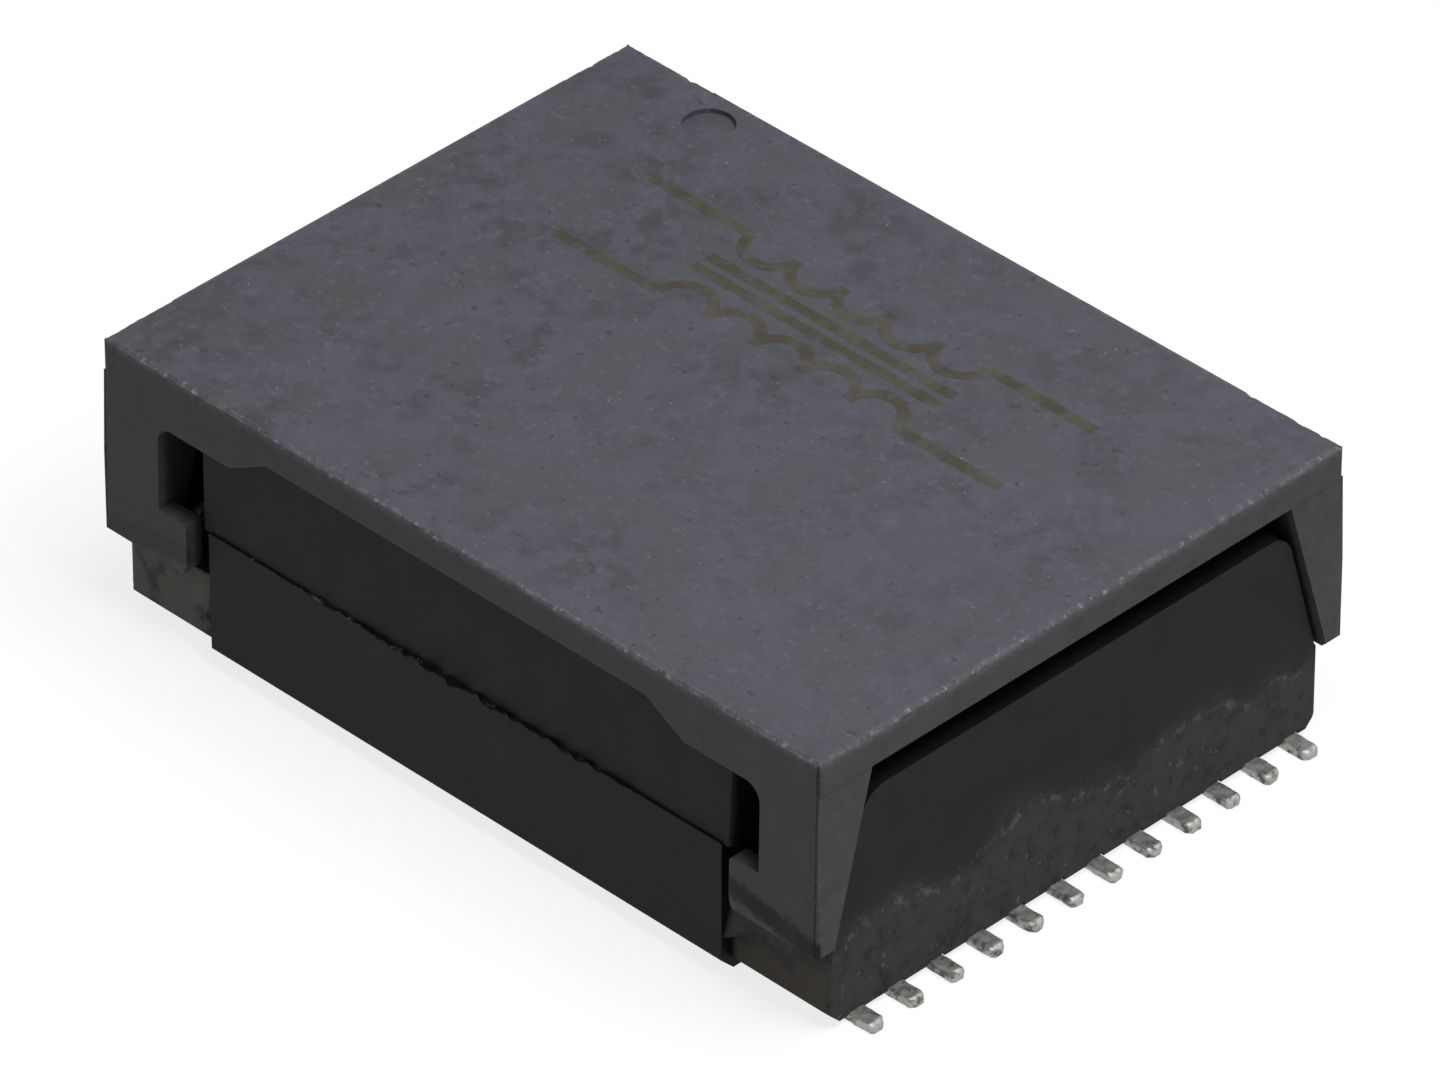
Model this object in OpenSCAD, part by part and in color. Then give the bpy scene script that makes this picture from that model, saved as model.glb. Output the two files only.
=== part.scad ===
// Surface-mount LAN transformer module with 24 leads. Four wound channels, each a
// transformer core and a choke core, stand in an open moulded header. Two rows of leads
// are moulded into its ends, and a cover with four corner legs closes it.
// +X runs along the body towards one lead row, Z = 0 is the soldering plane.

/* [Leads] */
// Distance from one lead to the next
lead_pitch = 1.016; // [1:0.004:1.1]
// Leads that each channel has on one end
leads_per_channel = 3; // [2:1:3]
// Channels side by side, each with one transformer and one choke
channels = 4; // [2:1:4]
// Width of a lead
lead_width = 0.38; // [0.3:0.01:0.46]
// Thickness of the lead strip
lead_thickness = 0.2; // [0.15:0.01:0.25]
// How far the feet reach out past the end walls
foot_reach = 0.57; // [0.3:0.01:1]
// Height of the wrap posts above the ledge they stand in
post_height = 0.75; // [0.6:0.05:0.9]
// Distance from the outside of the end wall to the inner face of a post
post_setback = 1.33; // [1.1:0.01:1.6]

/* [Header] */
// Length of the header over its two end walls
header_length = 17.86; // [16.5:0.02:22]
// Plastic between the outermost lead and the side of the header
row_margin = 0.52; // [0.45:0.01:1]
// Height of the header's underside above the soldering plane
standoff = 0.15; // [0.1:0.01:0.18]
// Thickness of the floor
floor_thickness = 0.5; // [0.4:0.05:0.9]
// Height of the corner ledges above the soldering plane
ledge_height = 1.85; // [1.6:0.05:2]
// Height of the end walls above the soldering plane
end_wall_height = 4.85; // [4.5:0.05:5.2]
// Thickness of the end walls
end_wall_thickness = 0.6; // [0.4:0.02:0.8]
// Radius of the end walls' upper corners
end_wall_radius = 0.6; // [0.1:0.05:0.8]
// Length of the raised side panels
panel_length = 13.05; // [12.6:0.05:13.2]
// How far the panels' upper half reaches past the lower half, with ends rounded as much
panel_overhang = 0.24; // [0.1:0.02:0.26]
// How far the side panels stand out from the corner blocks
panel_projection = 0.22; // [0.1:0.01:0.4]
// Thickness of the side walls at the panels
side_wall = 0.8; // [0.6:0.02:1]
// Height of the mould parting line above the soldering plane
parting_height = 3.03; // [2.2:0.05:4]
// How far the panels' upper half is set in at the parting line
parting_step = 0.04; // [0.02:0.01:0.1]
// How far the panels' upper half slopes in over its height
panel_draft = 0.06; // [0:0.01:0.15]
// Bevel along the lower edges of the long sides
bottom_bevel = 0.3; // [0.1:0.02:0.4]
// Length of the ramps that brace the panels' ends against the corner blocks
gusset_length = 1.5; // [0.8:0.1:2]
// Height of those ramps at the panels
gusset_height = 0.9; // [0.4:0.05:1.1]
// Rounding of the corner blocks' upright edges
block_radius = 0.15; // [0.05:0.05:0.4]
// Height of the ribs that part the channels, above the floor
rib_height = 0.9; // [0.4:0.05:1.5]
// Thickness of those ribs
rib_thickness = 0.4; // [0.2:0.02:0.5]

/* [Cover] */
// Height of the finished module above the soldering plane
module_height = 6.2; // [5.9:0.05:7.5]
// Thickness of the cover's top plate
cover_thickness = 0.72; // [0.5:0.02:0.9]
// How far the cover reaches out past the end walls
cover_end_overhang = 0.12; // [0.08:0.01:0.3]
// How far the cover reaches out past the side panels
cover_side_overhang = 0.155; // [0.1:0.005:0.3]
// Rounding of the cover's upright corners
cover_radius = 0.1; // [0.05:0.01:0.2]
// Bevel along the top edges of the cover
cover_bevel = 0.08; // [0.03:0.01:0.2]
// Width of a leg, seen on the long side
leg_width = 1.42; // [1.1:0.02:1.6]
// Width of a leg at its foot, seen on the end
leg_foot_width = 0.335; // [0.2:0.005:0.34]
// How much a leg widens towards the plate, per unit of height
leg_slope = 0.28; // [0.2:0.01:0.3]
// How far the legs' end faces are set back under the plate
leg_setback = 0.02; // [0.01:0.01:0.06]
// How far the legs lean out from the plate to their feet
leg_flare = 0.06; // [0:0.01:0.1]
// Bevel on the outer edges of the legs' feet
foot_bevel = 0.14; // [0.05:0.01:0.2]
// How far the hooked toe of a leg reaches along the long side
toe_reach = 0.72; // [0.4:0.02:0.75]
// Height of the toe
toe_height = 1.25; // [0.8:0.05:1.6]
// Thickness of the toe
toe_thickness = 0.34; // [0.2:0.02:0.5]
// Radius of the toe's lower corner
toe_radius = 0.4; // [0.1:0.05:0.7]
// Depth of the deeper skirt beside the legs
skirt_depth = 0.52; // [0.3:0.02:0.8]
// Thickness of that skirt
skirt_thickness = 0.8; // [0.4:0.05:1]
// Distance from the cover's end to where the skirt starts to run out
skirt_reach = 3.3; // [2.8:0.05:4]
// Length of the slanted run-out of the skirt
skirt_runout = 0.95; // [0.3:0.05:1.5]
// Radius in the upper corner of the slot beside a leg
slot_radius = 0.36; // [0.1:0.02:0.45]
// Diameter of the dimple that marks lead 1
dimple_diameter = 1.02; // [0.6:0.02:1.4]
// Depth of the dimple
dimple_depth = 0.1; // [0.05:0.01:0.3]
// Distance of the dimple's centre from the end of the cover
dimple_from_end = 2.99; // [1.5:0.01:5]
// Distance of the dimple's centre from the side of the cover
dimple_from_side = 0.875; // [0.75:0.005:2]

/* [Coils] */
// Outer diameter of a transformer core
transformer_diameter = 3.8; // [3:0.05:3.9]
// Hole in a transformer core
transformer_hole = 1.9; // [1.5:0.05:2.2]
// Thickness of a transformer core
transformer_thickness = 1.5; // [1:0.05:1.7]
// Turns in each of a transformer's two windings
transformer_turns = 6; // [3:1:8]
// Outer diameter of a choke core
choke_diameter = 3.1; // [2.5:0.05:3.3]
// Hole in a choke core
choke_hole = 1.5; // [1.3:0.05:1.7]
// Thickness of a choke core
choke_thickness = 1.3; // [0.8:0.05:1.6]
// Turns in each of a choke's two windings
choke_turns = 4; // [2:1:6]
// Bevel on the edges of the cores
core_bevel = 0.15; // [0.05:0.01:0.25]
// Free space between a channel's two coils
coil_spacing = 1.5; // [0.8:0.1:2]
// Diameter of the enamelled wire
wire_diameter = 0.14; // [0.08:0.01:0.16]
// Silicone under a coil at its lowest point
bed_thickness = 0.2; // [0.1:0.05:0.3]
// Height of the silicone beds above the floor
bed_height = 0.8; // [0.5:0.05:1.2]

/* [Clearances] */
// Gap between the slanted end walls and the legs
leg_gap = 0.14; // [0.1:0.01:0.3]
// Gap between the cover and the top of the side walls
seam_gap = 0.05; // [0.02:0.01:0.1]
// Play of a lead in its slot
lead_clearance = 0.02; // [0.01:0.005:0.04]
// Play round the coils, wires and silicone beds
coil_clearance = 0.03; // [0.01:0.005:0.05]

/* [Hidden] */
$fn = 48;
eps = 0.01;
leads_per_end = channels * leads_per_channel;
row_half = (leads_per_end - 1) / 2 * lead_pitch;
header_half = header_length / 2;
block_half = row_half + lead_width / 2 + row_margin;
panel_half = block_half + panel_projection;
cover_end = header_half + cover_end_overhang;
cover_side = panel_half + cover_side_overhang;
plate_underside = module_height - cover_thickness;
skirt_bottom = plate_underside - skirt_depth;
leg_inner = cover_end - leg_width;
toe_inner = leg_inner - toe_reach;
toe_tip_radius = toe_radius / 4;
leg_side = cover_side + leg_flare;
skirt_inner = cover_end - skirt_reach;
floor_top = standoff + floor_thickness;
wall_inner = header_half - end_wall_thickness;
post_inner = header_half - post_setback;
upper_half = panel_length / 2 + panel_overhang;
ledge_inner = panel_length / 2 - (panel_half - block_half) - block_radius;
cavity_half = panel_half - side_wall;
lane_width = (2 * cavity_half - (channels - 1) * rib_thickness) / channels;
lane_step = lane_width + rib_thickness;
foot_end = header_half + foot_reach;
bend_radius = lead_thickness / 2;
tip_bevel = lead_thickness / 3;

// Radius that a wound coil takes up, and its place in the header
transformer_reach = transformer_diameter / 2 + coil_clearance + wire_diameter;
choke_reach = choke_diameter / 2 + coil_clearance + wire_diameter;
coil_row = 2 * (transformer_reach + choke_reach) + coil_spacing;
transformer_x = transformer_reach - coil_row / 2;
choke_x = coil_row / 2 - choke_reach;
transformer_z = floor_top + bed_thickness + coil_clearance + transformer_reach;
choke_z = floor_top + bed_thickness + coil_clearance + choke_reach;

// ---- shared helpers ----

// Points of an arc, for outlines
function arc(x, y, r, from, to, steps = 6) =
    [for (i = [0:steps]) let (a = from + (to - from) * i / steps) [x + r * cos(a), y + r * sin(a)]];

function lane_y(channel) = (channel - (channels + 1) / 2) * lane_step;

// Leads are numbered anticlockwise from the dimple, seen from above
function lead_end(i) = i <= leads_per_end ? -1 : 1;
function lead_y(i) = i <= leads_per_end
    ? row_half - (i - 1) * lead_pitch
    : -row_half + (i - leads_per_end - 1) * lead_pitch;

// Leads of one channel on one end, lead 1's end first
function channel_leads(channel, end) =
    [for (k = [1:leads_per_channel]) end < 0
        ? leads_per_end - (channel - 1) * leads_per_channel - k + 1
        : leads_per_end + (channel - 1) * leads_per_channel + k];

module rounded_rectangle(x, y, r) {
    square([x, y - 2 * r], center = true);
    square([x - 2 * r, y], center = true);
    for (sx = [-1, 1], sy = [-1, 1])
        translate([sx * (x / 2 - r), sy * (y / 2 - r)]) circle(r);
}

// Draws an XZ outline as a plate from y = low to y = high
module along_y(low, high) {
    translate([0, high, 0]) rotate([90, 0, 0]) linear_extrude(high - low) children();
}

// Draws a YZ outline as a bar from x = low to x = high
module along_x(low, high) {
    translate([low, 0, 0]) rotate([90, 0, 90]) linear_extrude(high - low) children();
}

module at_four_corners() {
    for (sx = [0, 1], sy = [0, 1]) mirror([sx, 0, 0]) mirror([0, sy, 0]) children();
}

// ---- cover ----

// Inner edge of a leg at a height, seen on the end
function leg_edge(z) = cover_side - leg_foot_width - leg_slope * (z - ledge_height);

module leg_end_outline() {
    polygon([
        [leg_side, plate_underside + eps], [leg_edge(plate_underside), plate_underside + eps],
        [leg_edge(plate_underside), plate_underside], [leg_edge(ledge_height), ledge_height],
        [leg_side, ledge_height]
    ]);
}

// Hooked toe that keeps the leg beside the panel, lower corner rounded
module toe_outline() {
    polygon(concat(
        [[leg_inner + eps, ledge_height]],
        [[leg_inner + eps, ledge_height + toe_height]],
        arc(toe_inner + toe_tip_radius, ledge_height + toe_height - toe_tip_radius, toe_tip_radius, 90, 180),
        arc(toe_inner + toe_radius, ledge_height + toe_radius, toe_radius, 180, 270)
    ));
}

// Deeper skirt beside the leg, run out to the plate's edge on a slant
module skirt_outline() {
    difference() {
        polygon([
            [leg_inner + eps, plate_underside + eps], [skirt_inner - skirt_runout, plate_underside + eps],
            [skirt_inner - skirt_runout, plate_underside], [skirt_inner, skirt_bottom],
            [leg_inner - slot_radius, skirt_bottom], [leg_inner - slot_radius, skirt_bottom - slot_radius],
            [leg_inner + eps, skirt_bottom - slot_radius]
        ]);
        translate([leg_inner - slot_radius, skirt_bottom - slot_radius]) circle(slot_radius);
    }
}

module cover_corner() {
    along_x(leg_inner, cover_end + leg_flare) leg_end_outline();
    along_y(cover_side - toe_thickness, leg_side) toe_outline();
    along_y(cover_side - skirt_thickness, leg_side) skirt_outline();
}

// Both outer slants of the legs with their bevelled feet, as wide as half at the plate
module leg_limits(half) {
    foot = half + leg_flare;
    polygon([
        [foot_bevel - foot, ledge_height], [foot - foot_bevel, ledge_height],
        [foot, ledge_height + foot_bevel], [half, plate_underside], [half, module_height],
        [-half, module_height], [-half, plate_underside], [-foot, ledge_height + foot_bevel]
    ]);
}

// The top plate's edge with its bevel
module plate_limits(half) {
    polygon([
        [-half, plate_underside], [half, plate_underside], [half, module_height - cover_bevel],
        [half - cover_bevel, module_height], [cover_bevel - half, module_height],
        [-half, module_height - cover_bevel]
    ]);
}

module cover() {
    color([0.27, 0.28, 0.31])
    difference() {
        union() {
            intersection() {
                linear_extrude(module_height) rounded_rectangle(2 * cover_end, 2 * cover_side, cover_radius);
                along_y(-cover_side, cover_side) plate_limits(cover_end);
                along_x(-cover_end, cover_end) plate_limits(cover_side);
            }
            intersection() {
                at_four_corners() cover_corner();
                linear_extrude(module_height)
                    rounded_rectangle(2 * (cover_end - leg_setback + leg_flare), 2 * leg_side, cover_radius);
                along_y(-leg_side, leg_side) leg_limits(cover_end - leg_setback);
                along_x(-cover_end - leg_flare, cover_end + leg_flare) leg_limits(cover_side);
            }
        }
        translate([dimple_from_end - cover_end, cover_side - dimple_from_side, module_height - dimple_depth])
            cylinder(d = dimple_diameter, h = dimple_depth + 1);
    }
}

// ---- header ----

// Cross-section of the floor and corner blocks
module block_outline() {
    polygon([
        [bottom_bevel - block_half, standoff], [block_half - bottom_bevel, standoff],
        [block_half, standoff + bottom_bevel], [block_half, ledge_height],
        [-block_half, ledge_height], [-block_half, standoff + bottom_bevel]
    ]);
}

// End wall, with sides that follow the legs and round upper corners
module end_wall_outline() {
    foot = leg_edge(ledge_height) - leg_gap;
    head = leg_edge(end_wall_height) - leg_gap;
    lean = atan(leg_slope);
    corner_y = head - end_wall_radius * tan(45 - lean / 2);
    corner_z = end_wall_height - end_wall_radius;
    polygon(concat(
        [[-foot, ledge_height - 0.5], [foot, ledge_height - 0.5], [foot, ledge_height]],
        arc(corner_y, corner_z, end_wall_radius, lean, 90),
        arc(-corner_y, corner_z, end_wall_radius, 90, 180 - lean),
        [[-foot, ledge_height]]
    ));
}

// Cross-section of one side panel: the moulding's two halves meet at the parting line
module panel_outline() {
    top = plate_underside - seam_gap;
    polygon([
        [cavity_half, standoff], [panel_half - bottom_bevel, standoff],
        [panel_half, standoff + bottom_bevel], [panel_half, parting_height],
        [panel_half - parting_step, parting_height], [panel_half - parting_step - panel_draft, top],
        [cavity_half, top]
    ]);
}

// Outline of a side panel from the side: the upper half is the longer one, and it has
// shoulders under the cover's deep skirts
module panel_side_outline() {
    half = panel_length / 2;
    top = plate_underside - seam_gap;
    shoulder = skirt_bottom - seam_gap;
    run = skirt_inner - skirt_runout;
    polygon([
        [-half, 0], [half, 0], [half, parting_height], [upper_half, parting_height], [upper_half, shoulder],
        [skirt_inner, shoulder], [run, top], [-run, top], [-skirt_inner, shoulder],
        [-upper_half, shoulder], [-upper_half, parting_height], [-half, parting_height]
    ]);
}

// Ramp that braces the end of a panel against the corner block
module gusset() {
    start = panel_length / 2 - eps;
    end = start + gusset_length;
    low = ledge_height - gusset_height;
    intersection() {
        along_y(block_half - eps, panel_half)
            polygon([[start, low], [end, ledge_height], [start, ledge_height]]);
        along_x(start, end) polygon([
            [block_half - eps, low], [panel_half - eps, low], [block_half, ledge_height],
            [block_half - eps, ledge_height]
        ]);
    }
}

// Slot in which one lead comes in along the underside and rises through the ledge. Its
// inner corner is bevelled to clear the lead's bend.
module lead_slot(i) {
    inner = post_inner - lead_clearance;
    outer = post_inner + lead_thickness + lead_clearance;
    roof = lead_thickness + lead_clearance;
    top = ledge_height + 1;
    width = lead_width + 2 * lead_clearance;
    translate([0, lead_y(i), 0]) mirror([lead_end(i) < 0 ? 1 : 0, 0, 0]) along_y(-width / 2, width / 2)
        polygon([
            [inner, 0], [foot_end, 0], [foot_end, roof], [outer + bend_radius, roof],
            [outer, roof + bend_radius], [outer, top], [inner, top]
        ]);
}

module header() {
    color([0.1, 0.1, 0.11])
    difference() {
        union() {
            difference() {
                union() {
                    intersection() {
                        along_x(-header_half, header_half) block_outline();
                        linear_extrude(module_height)
                            rounded_rectangle(header_length, 2 * block_half, block_radius);
                    }
                    for (sy = [0, 1]) mirror([0, sy, 0]) intersection() {
                        along_x(-upper_half, upper_half) panel_outline();
                        along_y(0, panel_half) panel_side_outline();
                        linear_extrude(module_height)
                            rounded_rectangle(2 * upper_half, 2 * panel_half, panel_overhang);
                    }
                    for (sx = [0, 1]) mirror([sx, 0, 0])
                        along_x(wall_inner, header_half) end_wall_outline();
                    at_four_corners() gusset();
                }
                translate([-ledge_inner, -cavity_half, floor_top])
                    cube([2 * ledge_inner, 2 * cavity_half, module_height]);
            }
            for (i = [1:channels - 1]) translate([0, lane_y(i) + lane_step / 2, floor_top + rib_height / 2])
                cube([2 * ledge_inner + 2 * eps, rib_thickness, rib_height + 2 * eps], center = true);
        }
        for (i = [1:2 * leads_per_end]) lead_slot(i);
    }
}

// ---- leads ----

// Bent strip: foot, bend and wrap post, drawn for the +X end
module lead_outline() {
    outer = bend_radius + lead_thickness;
    bend_x = post_inner + outer;
    top = ledge_height + post_height;
    polygon(concat(
        [[foot_end, 0], [foot_end, lead_thickness - tip_bevel], [foot_end - tip_bevel, lead_thickness]],
        arc(bend_x, outer, bend_radius, 270, 180),
        [[post_inner + lead_thickness, top - tip_bevel], [post_inner + lead_thickness - tip_bevel, top],
         [post_inner + tip_bevel, top], [post_inner, top - tip_bevel]],
        arc(bend_x, outer, outer, 180, 270)
    ));
}

module lead(i) {
    color([0.72, 0.73, 0.72])
    translate([0, lead_y(i), 0]) mirror([lead_end(i) < 0 ? 1 : 0, 0, 0]) intersection() {
        along_y(-lead_width / 2, lead_width / 2) lead_outline();
        linear_extrude(module_height) polygon([
            [0, -lead_width / 2], [foot_end - tip_bevel, -lead_width / 2],
            [foot_end, tip_bevel - lead_width / 2], [foot_end, lead_width / 2 - tip_bevel],
            [foot_end - tip_bevel, lead_width / 2], [0, lead_width / 2]
        ]);
    }
}

// ---- coils ----

module place_transformer(channel) {
    translate([transformer_x, lane_y(channel), transformer_z]) children();
}

module place_choke(channel) {
    translate([choke_x, lane_y(channel), choke_z]) children();
}

// Ferrite ring standing on edge, its axis along Y
module ring_core(diameter, hole, thickness) {
    rotate([90, 0, 0]) rotate_extrude() translate([(diameter + hole) / 4, 0]) {
        a = (diameter - hole) / 4;
        b = thickness / 2;
        polygon([
            [a, core_bevel - b], [a, b - core_bevel], [a - core_bevel, b], [core_bevel - a, b],
            [-a, b - core_bevel], [-a, core_bevel - b], [core_bevel - a, -b], [a - core_bevel, -b]
        ]);
    }
}

// A turn passes the core's section at eight stations: [radius, height, outward angle]
function turn_station(k, middle, a, b) =
    let (corner = floor(k / 2) % 4, late = k % 2,
         sr = corner == 0 || corner == 3 ? 1 : -1, sh = corner < 2 ? 1 : -1,
         on_side = (corner % 2 == 0) == (late == 0))
    [middle + sr * (on_side ? a : a - core_bevel), sh * (on_side ? b - core_bevel : b),
     22.5 + 45 * (k % 8)];

// Continuous wire wound round a ring core, from one angle over a number of turns
module wound_wire(diameter, hole, thickness, turns, start, step) {
    sides = 6;
    off = coil_clearance + wire_diameter / 2;
    a = (diameter - hole) / 4 + off;
    b = thickness / 2 + off;
    stations = 8 * turns;
    points = [for (k = [0:stations]) let (
        s = turn_station(k % 8, (diameter + hole) / 4, a, b),
        phi = start + step * k / 8,
        radial = [cos(phi), 0, sin(phi)], tangent = [-sin(phi), 0, cos(phi)],
        out = radial * cos(s[2]) + [0, sin(s[2]), 0])
        for (j = [0:sides - 1]) let (t = 360 * j / sides)
            radial * s[0] + [0, s[1], 0] + (out * cos(t) + tangent * sin(t)) * wire_diameter / 2];
    faces = concat(
        [[for (j = [0:sides - 1]) j]],
        [for (k = [0:stations - 1], j = [0:sides - 1]) let (n = (j + 1) % sides)
            [k * sides + j, (k + 1) * sides + j, (k + 1) * sides + n]],
        [for (k = [0:stations - 1], j = [0:sides - 1]) let (n = (j + 1) % sides)
            [k * sides + j, (k + 1) * sides + n, k * sides + n]],
        [[for (j = [sides - 1:-1:0]) stations * sides + j]]
    );
    polyhedron(points, faces);
}

// Two interleaved windings that leave a gap at one side of the ring
module winding(diameter, hole, thickness, turns) {
    step = 300 / (turns + 0.5);
    for (second = [0, 1])
        wound_wire(diameter, hole, thickness, turns, 120 + second * step / 2, step);
}

module transformer_core(channel) {
    color([0.24, 0.22, 0.21]) place_transformer(channel)
        ring_core(transformer_diameter, transformer_hole, transformer_thickness);
}

module choke_core(channel) {
    color([0.24, 0.22, 0.21]) place_choke(channel)
        ring_core(choke_diameter, choke_hole, choke_thickness);
}

module transformer_winding(channel) {
    color([0.62, 0.25, 0.12]) place_transformer(channel)
        winding(transformer_diameter, transformer_hole, transformer_thickness, transformer_turns);
}

module choke_winding(channel) {
    color([0.62, 0.25, 0.12]) place_choke(channel)
        winding(choke_diameter, choke_hole, choke_thickness, choke_turns);
}

// Silicone bed of one channel, shaped by the two coils that stand in it
module silicone_bed(channel) {
    length = coil_row + coil_spacing;
    width = lane_width - 2 * coil_clearance;
    color([0.78, 0.78, 0.74])
    difference() {
        translate([-length / 2, lane_y(channel) - width / 2, floor_top]) cube([length, width, bed_height]);
        place_transformer(channel) rotate([90, 0, 0])
            cylinder(r = transformer_reach + coil_clearance, h = lane_step, center = true);
        place_choke(channel) rotate([90, 0, 0])
            cylinder(r = choke_reach + coil_clearance, h = lane_step, center = true);
    }
}

// Straight piece of wire between two points
module wire_run(from, to) {
    way = to - from;
    length = norm(way);
    translate(from) rotate([0, acos(way[2] / length), atan2(way[1], way[0])])
        cylinder(d = wire_diameter, h = length, $fn = 24);
}

// Three turns wrapped round a lead's post, and the tail to the nearest coil
module post_wrap(i, tail_end) {
    end = lead_end(i);
    inner = [lead_thickness + 2 * coil_clearance, lead_width + 2 * coil_clearance];
    outer = inner + [2, 2] * wire_diameter;
    height = 3 * wire_diameter;
    low = ledge_height + coil_clearance;
    translate([end * (post_inner + lead_thickness / 2), lead_y(i), low]) linear_extrude(height)
        difference() {
            square(outer, center = true);
            square(inner, center = true);
        }
    wire_run([end * (post_inner - coil_clearance - wire_diameter / 2), lead_y(i), low + height / 2], tail_end);
}

// Wires of one channel: tails to both lead rows and links between its coils
module channel_wires(channel) {
    free = coil_clearance + wire_diameter / 2;
    spread = transformer_thickness / leads_per_channel;
    color([0.62, 0.25, 0.12]) {
        for (k = [0:leads_per_channel - 1]) {
            y = lane_y(channel) + (k - (leads_per_channel - 1) / 2) * spread;
            post_wrap(channel_leads(channel, -1)[k],
                      [transformer_x - transformer_reach - free, y, transformer_z]);
            post_wrap(channel_leads(channel, 1)[k], [choke_x + choke_reach + free, y, choke_z]);
            wire_run([transformer_x + transformer_reach + free, y, transformer_z],
                     [choke_x - choke_reach - free, y, choke_z]);
        }
    }
}

// ---- the module, one named piece at a time ----

cover();
header();
for (i = [1:2 * leads_per_end]) {
    lead(i);
}
for (i = [1:channels]) {
    silicone_bed(i);
    transformer_core(i);
    transformer_winding(i);
    choke_core(i);
    choke_winding(i);
    channel_wires(i);
}
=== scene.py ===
# %% [markdown]
# # A surface-mount transformer module, dressed for its portrait
# The module is a black moulded header with two rows of tinned leads, closed by a
# blue-grey moulded cover on four corner legs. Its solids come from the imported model,
# so every size and place is already right. This lesson gives each surface its finish,
# rounds what solder rounds, roughens what a mould leaves rough, and sets up the light.

# %% Load the frame
import math

import bmesh
import bpy
from mathutils import Matrix, Vector, noise


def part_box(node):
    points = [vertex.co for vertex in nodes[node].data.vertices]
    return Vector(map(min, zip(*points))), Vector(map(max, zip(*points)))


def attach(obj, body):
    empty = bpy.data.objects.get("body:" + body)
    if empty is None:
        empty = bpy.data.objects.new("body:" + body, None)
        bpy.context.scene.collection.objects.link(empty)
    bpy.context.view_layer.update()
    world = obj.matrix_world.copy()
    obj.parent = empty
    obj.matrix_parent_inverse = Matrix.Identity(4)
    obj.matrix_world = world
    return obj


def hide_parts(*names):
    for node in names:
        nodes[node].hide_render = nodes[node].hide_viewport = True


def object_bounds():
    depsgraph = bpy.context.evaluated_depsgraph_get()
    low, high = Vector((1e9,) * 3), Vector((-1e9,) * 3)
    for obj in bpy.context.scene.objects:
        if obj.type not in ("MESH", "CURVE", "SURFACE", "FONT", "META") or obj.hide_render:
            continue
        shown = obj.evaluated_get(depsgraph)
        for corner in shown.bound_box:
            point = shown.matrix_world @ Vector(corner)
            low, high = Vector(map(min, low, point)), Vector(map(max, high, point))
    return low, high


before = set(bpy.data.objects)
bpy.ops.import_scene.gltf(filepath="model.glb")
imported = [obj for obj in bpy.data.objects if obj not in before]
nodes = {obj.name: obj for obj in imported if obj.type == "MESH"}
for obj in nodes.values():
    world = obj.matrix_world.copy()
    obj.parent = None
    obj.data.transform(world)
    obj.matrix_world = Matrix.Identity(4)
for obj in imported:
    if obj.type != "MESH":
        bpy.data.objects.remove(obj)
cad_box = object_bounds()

MM = 0.001
scene = bpy.context.scene
print("nodes:", len(nodes), "box in mm:", [[round(v / MM, 2) for v in corner] for corner in cad_box])

# %% [markdown]
# ## Measures taken from the solids
# A finish often depends on where it is: an edge is frayed only near the edge, resin
# creeps only up from the feet. The outline of the plate and the face of the side panels
# are read once from the solids, so a change of size in the model moves the frayed edges
# with it. What no box can tell, such as how high a film creeps, is named where it is used.

# %% Read the places that the finishes need
PLATE_DEPTH = 0.5 * MM
top_z = Vector(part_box("cover")[1]).z
panel_face = Vector(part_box("header")[1]).y
plate = [v.co for v in nodes["cover"].data.vertices if v.co.z > top_z - PLATE_DEPTH]
half_x = max(co.x for co in plate)
half_y = max(co.y for co in plate)
lead_names = sorted((n for n in nodes if n.startswith("lead_")), key=lambda n: int(n[5:]))
print("plate half sizes in mm:", round(half_x / MM, 2), round(half_y / MM, 2), "leads:", len(lead_names))

# %% [markdown]
# ## A small kit for materials
# Every finish here is procedural: noise in the object's own coordinates, shaped by
# ramps, then sent to colour, roughness and bump. Object coordinates stay with the
# piece when it moves or is seen from behind. The helpers below only save typing:
# they add a node, join it up and hand back its output. They come in three layers,
# the nodes first, then the masks made of them, then the colours laid through the masks.

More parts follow.
